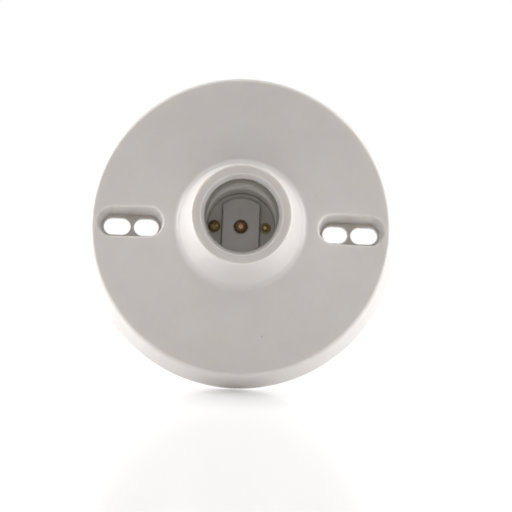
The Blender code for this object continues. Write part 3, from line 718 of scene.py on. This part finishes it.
# %% [markdown]
# ## The body: pockets, slots and the back
# Each pocket is a drafted recess with a soft lip, and two slots go through its floor for the
# box screws. A quarter round, drawn as rings that shrink while they sink below the cone, makes
# the lip. Behind, the tray and its two arms take the terminals, and a channel takes the leaf.

# %% Pockets and slots
LIP = 0.75
POCKET_FLOOR = 8.4
SLOT_WIDTH = 6.2
SLOTS = ((34.5, 9.0), (45.1, 9.8))  # place along the row, and length
SLOT_STEPS = ((0, 3.0), (0, 8.1), (0.25, POCKET_FLOOR), (0.25, 9.5))  # wider by, and height

cutters = []
for side in (1, -1):
    rings = [grown(POCKET, LIP + 0.25, 32.0)]
    rings.append(grown(POCKET, LIP + 0.25, under_face(-0.03)))
    for degrees in (0, 15, 30, 45, 60, 75, 90):
        turn = math.radians(degrees)
        wider, sunk = LIP * (1 - math.sin(turn)), LIP * (1 - math.cos(turn))
        rings.append(grown(POCKET, wider, under_face(sunk)))
    rings += [
        grown(POCKET, -0.94, 8.9), grown(POCKET, -1.05, 8.55), grown(POCKET, -1.3, POCKET_FLOOR),
    ]
    cutters.append(stacked(side * POCKET_AT, rings))
    for middle, length in SLOTS:
        rings = [grown((length, SLOT_WIDTH), wider, height) for wider, height in SLOT_STEPS]
        cutters.append(stacked(side * middle, rings))
print("pocket and slot cutters:", len(cutters))

# %% Tray, arms, channel and holes
tray = [(0, -3, 0), (TRAY_RADIUS, -3, 0), (TRAY_RADIUS, SEAT, 0.4), (0, SEAT, 0)]
cutters.append(turned(tray, steps=128))
for side in (1, -1):
    cutters.append(pressed(oblong(5.2, side * 2, side * 36), -3, SEAT))
    cutters.append(drill(0, side * TERMINAL_AT, TERMINAL_HOLE, TRAY_RIM, 15.8))
cutters.append(pressed(oblong(4.0, -4.7, 10.7, 0.8, 0.8), TRAY_RIM, CHANNEL_TOP))
cutters.append(drill(0, 0, 2.55, 13.85, 22.85, steps=64))
cutters.append(drill(0, LEAF_SCREW_AT, SMALL_HOLE, TRAY_RIM, 15.1))
cutters.append(drill(RIVET_AT, 0, SMALL_HOLE, TRAY_RIM, 20.5))
cutters.append(drill(SCREW_AT, 0, SMALL_HOLE, TRAY_RIM, 20.5))
body = combined(body, "DIFFERENCE", cutters)
fit("holder_body", body, moulded_urea, "base_body")

# %% [markdown]
# ## The screw shell
# A medium Edison thread has 7 turns to the inch. The shell is a cup of 0.25 mm sheet, so its
# thread shows inside and out. A plain wall is spun first. Then each point of the wall moves in
# or out by a cosine that climbs one pitch a turn, which is what the rolling tool does. Its
# start was read off the bands that show at the photograph's mouth. Last, the sheet gets its
# thickness, and the window over the bar and two holes are punched.

# %% The rolled radius
PITCH = 25.4 / 7
CREST, ROOT, PLAIN = 12.4, 13.2, 12.4  # inner radii
ROLLED = 18.0  # height of the rolled part, down from the mouth
FADE_IN, FADE_OUT = 1.8, 1.6  # where the thread rises out of the plain wall
THREAD_START = math.radians(64.5)
SHEET = 0.25


def eased(share):
    """Rises from 0 to 1 with no corner at either end."""
    share = min(max(share, 0.0), 1.0)
    return share * share * (3 - 2 * share)


def rolled_radius(height, turn):
    """Inner radius of the rolled wall, in millimetres."""
    start = eased((height - SHELL_TOP + ROLLED) / FADE_IN)
    end = eased((SHELL_TOP - height) / FADE_OUT)
    plain = PLAIN if start < 1 else ROOT
    phase = math.tau * (height - SHELL_TOP) / PITCH - (turn - THREAD_START) + math.pi
    wave = (ROOT + CREST) / 2 + (ROOT - CREST) / 2 * math.cos(phase)
    return plain + (wave - plain) * min(start, end)


print("thread:", round(ROLLED / PITCH, 2), "turns of", round(PITCH, 3), "mm")

# %% Spin the cup and roll the thread
shell = bmesh.new()
top_edge = shell.verts.new((PLAIN, 0, SHELL_TOP))
wall_foot = shell.verts.new((PLAIN, 0, SHELL_TOP - ROLLED))
corner = shell.verts.new((PLAIN, 0, SHELL_FLOOR))
middle = shell.verts.new((0, 0, SHELL_FLOOR))
wall = shell.edges.new((top_edge, wall_foot))
shell.edges.new((wall_foot, corner))
shell.edges.new((corner, middle))
bmesh.ops.bevel(
    shell, geom=[corner], offset=0.8, offset_type="OFFSET", segments=6,
    profile=0.5, affect="VERTICES", material=-1,
)
bmesh.ops.subdivide_edges(shell, edges=[wall], cuts=79)
bmesh.ops.spin(
    shell, geom=shell.verts[:] + shell.edges[:], cent=(0, 0, 0), axis=(0, 0, 1),
    angle=math.tau, steps=160, use_merge=True,
)
bmesh.ops.remove_doubles(shell, verts=shell.verts, dist=MERGE)
for vert in shell.verts:
    if vert.co.z > SHELL_TOP - ROLLED:
        turn = math.atan2(vert.co.y, vert.co.x)
        reach = rolled_radius(vert.co.z, turn)
        vert.co.x, vert.co.y = reach * math.cos(turn), reach * math.sin(turn)
bmesh.ops.recalc_face_normals(shell, faces=shell.faces)
print("rolled wall:", len(shell.faces), "faces")

# %% Thickness, window and holes
PUNCH = (14.7, 20.95)  # the heights that each punch passes
WINDOW_GAP = 0.3  # air between the bar and the window's edge

# The sheet has to grow outwards, so this finds out which way the wall's faces look.
outwards = 0
for face in shell.faces:
    middle = face.calc_center_median()
    outwards += face.normal.dot(Vector((middle.x, middle.y, 0)))
bmesh.ops.solidify(shell, geom=shell.faces[:], thickness=-SHEET if outwards > 0 else SHEET)
bmesh.ops.recalc_face_normals(shell, faces=shell.faces)
window = drill(0, 0, BAR_RADIUS + WINDOW_GAP, *PUNCH, steps=128)
window = sliced(window, BAR_HALF_WIDTH + WINDOW_GAP)
holes = [drill(RIVET_AT, 0, SMALL_HOLE, *PUNCH), drill(SCREW_AT, 0, SMALL_HOLE, *PUNCH)]
shell = combined(shell, "DIFFERENCE", [window, *holes])
fit("rolled_shell", shell, rolled_aluminium, "screw_shell", crease=40)

# %% [markdown]
# ## The centre contact
# A lamp's cap presses this button. It is turned from rod: a low dome that stands 1.8 mm over
# the bar, a flange behind that stops it, and a short tail that locates the leaf spring. The
# dome is an arc, so its profile is a few points of that arc between the two straight parts.


# %% Button
def cap(radius, edge, rise, steps=10):
    """Profile points of a round cap, from its edge to the axis. A rise below 0 faces back."""
    sphere = (radius**2 + rise**2) / (2 * rise)
    reach = math.atan2(radius, abs(sphere) - abs(rise))
    turns = [reach * (1 - step / steps) for step in range(steps + 1)]
    return [
        (abs(sphere) * math.sin(turn), edge + rise - sphere * (1 - math.cos(turn)), 0)
        for turn in turns
    ]


button_section = [
    (0, 14.25, 0), (1.0, 14.25, 0.2), (1.0, 15.85, 0),
    (3.7, 15.85, 0.1), (3.7, 16.65, 0.1), (2.4, 16.65, 0),
    (2.4, 20.35, 0.12), *cap(2.28, 20.36, 1.29),
]
fit("contact_button", turned(button_section, steps=64), contact_brass, "centre_contact")

# %% [markdown]
# ## The leaf spring
# A strip of phosphor bronze pushes the button forward and carries the current. It is drawn from
# the side, with its two bends rounded, and pressed to its width.

# %% Leaf
LEAF_SHEET, LEAF_HALF_WIDTH = 0.4, 2.5
LEAF_ROOT, LEAF_FRONT = 9.3, 15.65  # height on the terminal, and behind the button
LOW_BEND, HIGH_BEND = 9.7, 3.7  # distance of each bend from the lamp's axis

rise = math.atan2(LEAF_FRONT - LEAF_ROOT, LOW_BEND - HIGH_BEND)
shift = LEAF_SHEET * math.tan(rise / 2)
leaf_side = [
    (16.4, LEAF_ROOT, 0), (LOW_BEND, LEAF_ROOT, 1.0),
    (HIGH_BEND, LEAF_FRONT, 0.6), (-2.7, LEAF_FRONT, 0),
    (-2.7, LEAF_FRONT - LEAF_SHEET, 0), (HIGH_BEND + shift, LEAF_FRONT - LEAF_SHEET, 1.0),
    (LOW_BEND + shift, LEAF_ROOT - LEAF_SHEET, 0.6), (16.4, LEAF_ROOT - LEAF_SHEET, 0),
]
leaf = pressed(leaf_side, -LEAF_HALF_WIDTH, LEAF_HALF_WIDTH, segments=5)
swing(leaf, 90, "X")
swing(leaf, 90, "Z")
leaf_holes = [drill(0, 0, 1.3, 12, 18), drill(0, LEAF_SCREW_AT, SMALL_HOLE, 6, 12)]
leaf = combined(leaf, "DIFFERENCE", leaf_holes)
leaf_bends = {
    "a": "holder", "b": "contact", "start": (0, -0.0125, 0.0097), "end": (0, -0.0125, 0.0037),
}
fit("contact_spring", leaf, bronze_strip, "contact_leaf", bends=leaf_bends)

# %% [markdown]
# ## Screws with a real thread
# A screw's thread is a ridge that winds up its shank. Spinning a blunt little triangle with a
# step along the axis sweeps that ridge, and its foot sinks into a thinner core. The terminal
# screws have a 0.7 mm pitch, so one turn backs the clamp away by 0.7 mm, as the joint says.


# %% Thread and slotted screw
def threaded(bm, place, core, outer, low, high, pitch, steps=24):
    """Winds a thread ridge of this pitch round a core."""
    turns = (high - low) / pitch
    root, half_foot, half_crest = core - 0.05, pitch * 0.45, pitch * 0.06
    points = [(root, -half_foot), (outer, -half_crest), (outer, half_crest), (root, half_foot)]
    verts = [bm.verts.new((place[0] + a, place[1], low + b)) for a, b in points]
    edges = [bm.edges.new((verts[i - 1], verts[i])) for i in range(4)]
    start = bmesh.ops.contextual_create(bm, geom=edges)["faces"]
    bmesh.ops.spin(
        bm, geom=start, cent=(*place, 0), axis=(0, 0, 1), dvec=(0, 0, pitch / steps),
        angle=math.tau * turns, steps=round(steps * turns),
    )


def slotted_screw(y, seat, head, shank, pitch):
    """A cheese-head screw. Head is (radius, height), shank is (radius, length)."""
    back, end = seat - head[1], seat + shank[1]
    core = shank[0] - 0.6 * pitch
    section = [
        (0, back, 0), (head[0], back, 0.9), (head[0], seat, 0.15), (core, seat, 0),
        (core, end, 0.4), (0, end, 0),
    ]
    screw = turned(section, steps=64, centre=(0, y))
    screw = combined(screw, "DIFFERENCE", [block((0, y, back - 0.4), (12, 1.0, 3.0))])
    threaded(screw, (0, y), core, shank[0], seat + 0.35 * pitch, end - 0.4, pitch)
    bmesh.ops.recalc_face_normals(screw, faces=screw.faces)
    return screw


TERMINAL_SCREW = (8.3, (3.5, 2.3), (1.75, 7.5), 0.7)
leaf_screw = slotted_screw(LEAF_SCREW_AT, 8.7, (2.6, 1.6), (1.3, 4.6), 0.45)
fit("leaf_spring_screw", leaf_screw, leaf_screw_brass, "leaf_screw")
line_screw = slotted_screw(TERMINAL_AT, *TERMINAL_SCREW)
fit("line_terminal_screw", line_screw, line_screw_brass, "line_screw")
neutral_screw = slotted_screw(-TERMINAL_AT, *TERMINAL_SCREW)
fit("neutral_terminal_screw", neutral_screw, nickel_plate, "neutral_screw")

# %% [markdown]
# ## The shell's two fasteners
# On the left a screw with a cross recess holds the shell, on the right a rivet. Both heads show
# in the socket. The recess is cut by two crossed wedges, as the punch that makes it has. The
# rivet's head is a flange with a smaller dome on it, and its tail is spread over a washer.

# %% Screw with a cross recess
HEAD_SEAT = 18.15  # where both heads sit on the shell's floor
SHANK = 1.3
HEAD_TOP = 19.95

shell_screw_section = [
    (0, 6.6, 0), (SHANK, 6.6, 0.25), (SHANK, HEAD_SEAT, 0), (2.15, HEAD_SEAT, 0.1),
    (2.15, HEAD_TOP - 0.8, 0.12), *cap(2.07, HEAD_TOP - 0.75, 0.75),
]
shell_screw = turned(shell_screw_section, steps=64, centre=(SCREW_AT, 0))
wedges = []
for degrees in (45, 135):
    wedge = block((0, 0, HEAD_TOP + 0.5), (3.7, 1.0, 3.0))
    for vert in wedge.verts:
        if vert.co.z < HEAD_TOP:
            vert.co.x, vert.co.y = vert.co.x * 0.45, vert.co.y * 0.7
    swing(wedge, degrees, "Z")
    bmesh.ops.translate(wedge, verts=wedge.verts, vec=(SCREW_AT, 0, 0))
    wedges.append(wedge)
shell_screw = combined(shell_screw, "DIFFERENCE", wedges)
fit("shell_fixing_screw", shell_screw, screw_brass, "shell_screw")

# %% Rivet
rivet_section = [
    *reversed(cap(2.1, 8.6, -1.1)), (SHANK, 8.6, 0), (SHANK, HEAD_SEAT, 0), (1.95, HEAD_SEAT, 0.1),
    (1.95, 18.65, 0.15), *cap(1.45, 18.65, 1.1),
]
shell_rivet = turned(rivet_section, steps=64, centre=(RIVET_AT, 0))
fit("shell_fixing_rivet", shell_rivet, rivet_brass, "shell_rivet")

# %% [markdown]
# ## Nut and washers
# A nut is a hexagon whose corners are turned off at both ends, so a hexagon is intersected with
# a turned blank. The lock washer is a ring with one slanted cut. The rivet's washer is plain.

# %% Nut
HALF_ACROSS_FLATS = 2.5
nut_section = [
    (SMALL_HOLE, 6.8, 0), (2.6, 6.8, 0), (2.9, 7.05, 0),
    (2.9, 8.35, 0), (2.6, 8.6, 0), (SMALL_HOLE, 8.6, 0),
]
blank = turned(nut_section, steps=64, centre=(SCREW_AT, 0))
hexagon = drill(SCREW_AT, 0, HALF_ACROSS_FLATS / math.cos(math.pi / 6), 6.0, 9.5, steps=6)
swing(hexagon, -30, "Z", centre=(SCREW_AT, 0, 0))
fit("shell_fixing_nut", combined(blank, "INTERSECT", [hexagon]), screw_brass, "shell_nut")

# %% Lock washer and plain washer
washer_section = [
    (SMALL_HOLE, 8.8, 0.1), (2.6, 8.8, 0.12), (2.6, 9.3, 0.12), (SMALL_HOLE, 9.3, 0.1),
]
ring = turned(washer_section, steps=64, segments=3)
ring = combined(ring, "DIFFERENCE", [block((0, 2.2, 9.05), (0.35, 2.4, 3), lean=0.6)])
bmesh.ops.translate(ring, verts=ring.verts, vec=(SCREW_AT, 0, 0))
fit("lock_washer", ring, zinc_plate, "shell_lock_washer")

ring = turned(washer_section, steps=64, segments=3, centre=(RIVET_AT, 0))
fit("washer_under_rivet", ring, brass_strip, "rivet_washer")

# %% [markdown]
# ## Terminals and clamps
# The two terminals are blanked from 0.8 mm strip: a straight one from the leaf to the line
# screw, and a yoke that joins both shell fasteners to the neutral screw. A square clamp with
# two lips sits under each screw's head. Blanking rolls the edges over a little, and a fine
# bevel catches the light there.

# %% Line terminal and neutral yoke
STRIP_HALF_WIDTH, STRIP_END = 3.5, 30.6
BLANKED = 0.1  # how far blanking rolls an edge over
STRIP_PUNCH = (8, 12)

strip = pressed(oblong(STRIP_HALF_WIDTH, 11.2, STRIP_END, 1.0, 1.0), STRIP_BACK, STRIP_TOP)
strip_holes = [
    drill(0, LEAF_SCREW_AT, SMALL_HOLE, *STRIP_PUNCH),
    drill(0, TERMINAL_AT, TERMINAL_HOLE, *STRIP_PUNCH),
]
strip = combined(strip, "DIFFERENCE", strip_holes)
soften(strip, corner_edges(strip, 60), BLANKED, segments=2)
fit("line_strip", strip, brass_strip, "line_terminal")

arm_in, arm_out, arm_end, bridge = 6.25, 12.55, 3.15, -6.7
shoulder = bridge - 6.3
half_yoke = [
    (STRIP_HALF_WIDTH, -STRIP_END, 1.0), (STRIP_HALF_WIDTH, shoulder, 1.0),
    (arm_out, shoulder, 5.0), (arm_out, arm_end, 3.1),
    (arm_in, arm_end, 3.1), (arm_in, bridge, 1.0),
]
mirrored_half = [(-x, y, rounding) for x, y, rounding in reversed(half_yoke)]
yoke = pressed(half_yoke + mirrored_half, STRIP_BACK, STRIP_TOP)
yoke_holes = [
    drill(RIVET_AT, 0, SMALL_HOLE, *STRIP_PUNCH), drill(SCREW_AT, 0, SMALL_HOLE, *STRIP_PUNCH),
    drill(0, -TERMINAL_AT, TERMINAL_HOLE, *STRIP_PUNCH),
]
yoke = combined(yoke, "DIFFERENCE", yoke_holes)
soften(yoke, corner_edges(yoke, 60), BLANKED, segments=2)
fit("neutral_yoke", yoke, nickel_plate, "neutral_terminal")

# %% Wire clamps
CLAMP_HALF = 4.7
clamp_side = [
    (-CLAMP_HALF, 8.5, 0.25), (CLAMP_HALF, 8.5, 0.25), (CLAMP_HALF, 10.2, 0.1), (3.9, 10.2, 0.1),
    (3.9, 9.3, 0), (-3.9, 9.3, 0), (-3.9, 10.2, 0.1), (-CLAMP_HALF, 10.2, 0.1),
]
for name, node, side, metal in (
    ("line_wire_clamp", "line_clamp", 1, brass_strip),
    ("neutral_wire_clamp", "neutral_clamp", -1, nickel_plate),
):
    clamp = pressed(clamp_side, -CLAMP_HALF, CLAMP_HALF, segments=3)
    swing(clamp, 90, "X")
    bmesh.ops.translate(clamp, verts=clamp.verts, vec=(0, side * TERMINAL_AT, 0))
    clamp = combined(clamp, "DIFFERENCE", [drill(0, side * TERMINAL_AT, TERMINAL_HOLE, 7, 12)])
    soften(clamp, corner_edges(clamp, 60), BLANKED, segments=2)
    fit(name, clamp, metal, node)

# %% [markdown]
# ## The camera
# The photograph looks a little up at the holder, from about 1.1 m with a long lens. These
# angles were fitted to the circles of the rim, the ring and the mouth, so the camera is placed
# from an azimuth, an elevation and a small roll, and then slid sideways to frame the object.

# %% Camera
AZIMUTH, ELEVATION, ROLL = math.radians(-0.589), math.radians(-7.604), math.radians(2.2275)
DISTANCE, RIGHTWARD, UPWARD = 1.10, 0.0058, -0.0080
back = Vector((
    math.sin(AZIMUTH) * math.cos(ELEVATION),
    -math.cos(AZIMUTH) * math.cos(ELEVATION),
    math.sin(ELEVATION),
))
level = Vector((0, 0, 1)).cross(back).normalized()
right = Matrix.Rotation(ROLL, 3, back) @ level
up = back.cross(right)
lens = bpy.data.cameras.new("camera")
lens.sensor_width, lens.lens, lens.clip_start = 36, 210.0, 0.01
camera = placed("camera", lens)
camera.matrix_world = Matrix((right, up, back)).transposed().to_4x4()
camera.location = back * DISTANCE + right * RIGHTWARD + up * UPWARD
bpy.context.scene.camera = camera
print("camera at", [round(v, 4) for v in camera.location])

# %% [markdown]
# ## The floor
# The holder stands on its rim on a glossy white sheet and leans back, so in the frame that
# sheet slopes. It is lit like the rest. A little light of its own lifts it to plain white for
# the camera, so that only the shadow and the faint mirror image under the rim show. About half
# as much is left for other rays, as a lit white table sends light up under the rim.

# %% Floor
SLOPE = math.radians(12.5)
GLOW, GLOW_SEEN = 0.11, 0.2

floor_bm = bmesh.new()
bmesh.ops.create_grid(floor_bm, x_segments=1, y_segments=1, size=1)
bmesh.ops.scale(floor_bm, verts=floor_bm.verts, vec=(0.55, 0.45, 1))
bmesh.ops.translate(floor_bm, verts=floor_bm.verts, vec=(0, -0.31, 0))
bmesh.ops.rotate(floor_bm, verts=floor_bm.verts, matrix=Matrix.Rotation(SLOPE, 3, "X"))
bmesh.ops.translate(floor_bm, verts=floor_bm.verts, vec=(0, 0, -RIM_RADIUS * MM))
glossy_white, tree, shader = finish(
    "glossy_white_sheet", Base_Color=linear("F4F4F4"), Roughness=0.18, IOR=1.45,
    Emission_Color=linear("FFFFFF"),
)
rays = add(tree, "LightPath")
lift = add(tree, "MapRange", {
    "Value": rays.outputs["Is Camera Ray"], "To Min": GLOW, "To Max": GLOW_SEEN,
})
tree.links.new(lift.outputs["Result"], shader.inputs["Emission Strength"])
floor = placed("floor", mesh_of("floor", floor_bm, glossy_white))
floor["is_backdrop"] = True
print("floor slopes", round(math.degrees(SLOPE), 1), "degrees")

# %% [markdown]
# ## Light
# White walls stand behind and beside the holder and give most of the light, so the skirt is
# bright and the face is a soft grey. The room behind the camera is dimmer, and a card stands
# for it: dim in the middle, pale in a ring round that, and dim again outside. The socket is
# deep, so that ring is nearly all the light it gets. The camera, mirrors and glass see the
# walls as plain white.

# %% White room
WALL_LIGHT, WALL_SEEN = 0.42, 1.0

world = bpy.data.worlds.new("white_room")
bpy.context.scene.world = world
world.use_nodes = True
tree = world.node_tree
walls = tree.nodes["Background"]
rays = add(tree, "LightPath").outputs
seen = add(tree, "Math", {0: rays["Is Camera Ray"], 1: rays["Is Glossy Ray"]}, operation="MAXIMUM")
seen = add(
    tree, "Math", {0: seen.outputs["Value"], 1: rays["Is Transmission Ray"]},
    operation="MAXIMUM",
)
strength = add(tree, "MapRange", {
    "Value": seen.outputs["Value"], "To Min": WALL_LIGHT, "To Max": WALL_SEEN,
})
walls.inputs["Color"].default_value = linear("FFFFFF")
tree.links.new(strength.outputs["Result"], walls.inputs["Strength"])
bpy.context.scene.view_settings.view_transform = "Standard"
print("white room gives", WALL_LIGHT, "and is seen as", WALL_SEEN)

# %% Card behind the camera
CARD_AT = -1.5  # metres along Y
GLOW_CENTRE = (0, 0, 0.15)  # about the place that flat faces mirror, in metres
GLOW_REACH = 1.25  # metres that the stops below are shares of
DIM_MIDDLE, DIM_OUTSIDE = (0.2, 0.12), (0.85, 0.16)  # position and strength
PALE_RING = (0.34, 0.62)

card_bm = bmesh.new()
facing = Matrix.Translation((0, CARD_AT, 0)) @ Matrix.Rotation(math.radians(90), 4, "X")
bmesh.ops.create_grid(card_bm, x_segments=1, y_segments=1, size=1.6, matrix=facing)
glowing_card, tree, shader = finish(
    "grey_card", Base_Color=linear("000000"), Roughness=1.0, Emission_Color=linear("FFFFFF")
)
place = add(tree, "TexCoord").outputs["Object"]
off_centre = add(tree, "VectorMath", {0: place, 1: GLOW_CENTRE}, operation="SUBTRACT")
flat_way = add(
    tree, "VectorMath", {0: off_centre.outputs["Vector"], 1: (1, 0, 1)}, operation="MULTIPLY"
)
away = add(tree, "VectorMath", {0: flat_way.outputs["Vector"]}, operation="LENGTH")
share = add(tree, "Math", {0: away.outputs["Value"], 1: GLOW_REACH}, operation="DIVIDE")
glow = add(tree, "ValToRGB", {"Fac": share.outputs["Value"]})
stops = glow.color_ramp.elements
for stop, (position, grey) in zip(stops, (DIM_MIDDLE, DIM_OUTSIDE)):
    stop.position, stop.color = position, (grey, grey, grey, 1)
for position in PALE_RING:
    stops.new(position).color = (1, 1, 1, 1)
tree.links.new(glow.outputs["Color"], shader.inputs["Emission Strength"])
card = placed("grey_card", mesh_of("grey_card", card_bm, glowing_card))
card.visible_camera = False
card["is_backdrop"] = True
print("card stands", -CARD_AT, "m in front of the holder")

# %% [markdown]
# Soft boxes stand on both sides. The pair that stands a little behind lights the neck and the
# skirt but only grazes the face. A weak box overhead lifts the top of the neck and the skirt.

# %% Soft boxes
SIDE_BOX, TOP_BOX = (0.4, 0.9), (0.9, 0.3)
for name, place, size, watts in (
    ("left_box", (-0.8, 0.0, 0.05), SIDE_BOX, 6.0),
    ("right_box", (0.8, 0.0, 0.05), SIDE_BOX, 6.6),
    ("left_back_box", (-0.8, 0.25, 0.05), SIDE_BOX, 6.5),
    ("right_back_box", (0.8, 0.25, 0.05), SIDE_BOX, 2.7),
    ("top_box", (0, -0.15, 0.95), TOP_BOX, 2.2),
):
    lamp = bpy.data.lights.new(name, "AREA")
    lamp.shape, lamp.energy = "RECTANGLE", watts
    lamp.size, lamp.size_y = size
    box = placed(name, lamp)
    box.location = place
    box.rotation_euler = Vector(place).to_track_quat("Z", "Y").to_euler()
    box.visible_camera = False
    print(name, "at", place, "gives", watts, "W")

# %% [markdown]
# ## Measure
# The dressed model must stay the size of the CAD model, so both boxes are measured and printed.

# %% Sizes
dressed_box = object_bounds()
boxes = {
    "cad": [list(map(float, corner)) for corner in cad_box],
    "visual": [list(map(float, corner)) for corner in dressed_box],
}
for name, box in boxes.items():
    print(name, "box in mm:", [[round(v * 1000, 2) for v in corner] for corner in box])
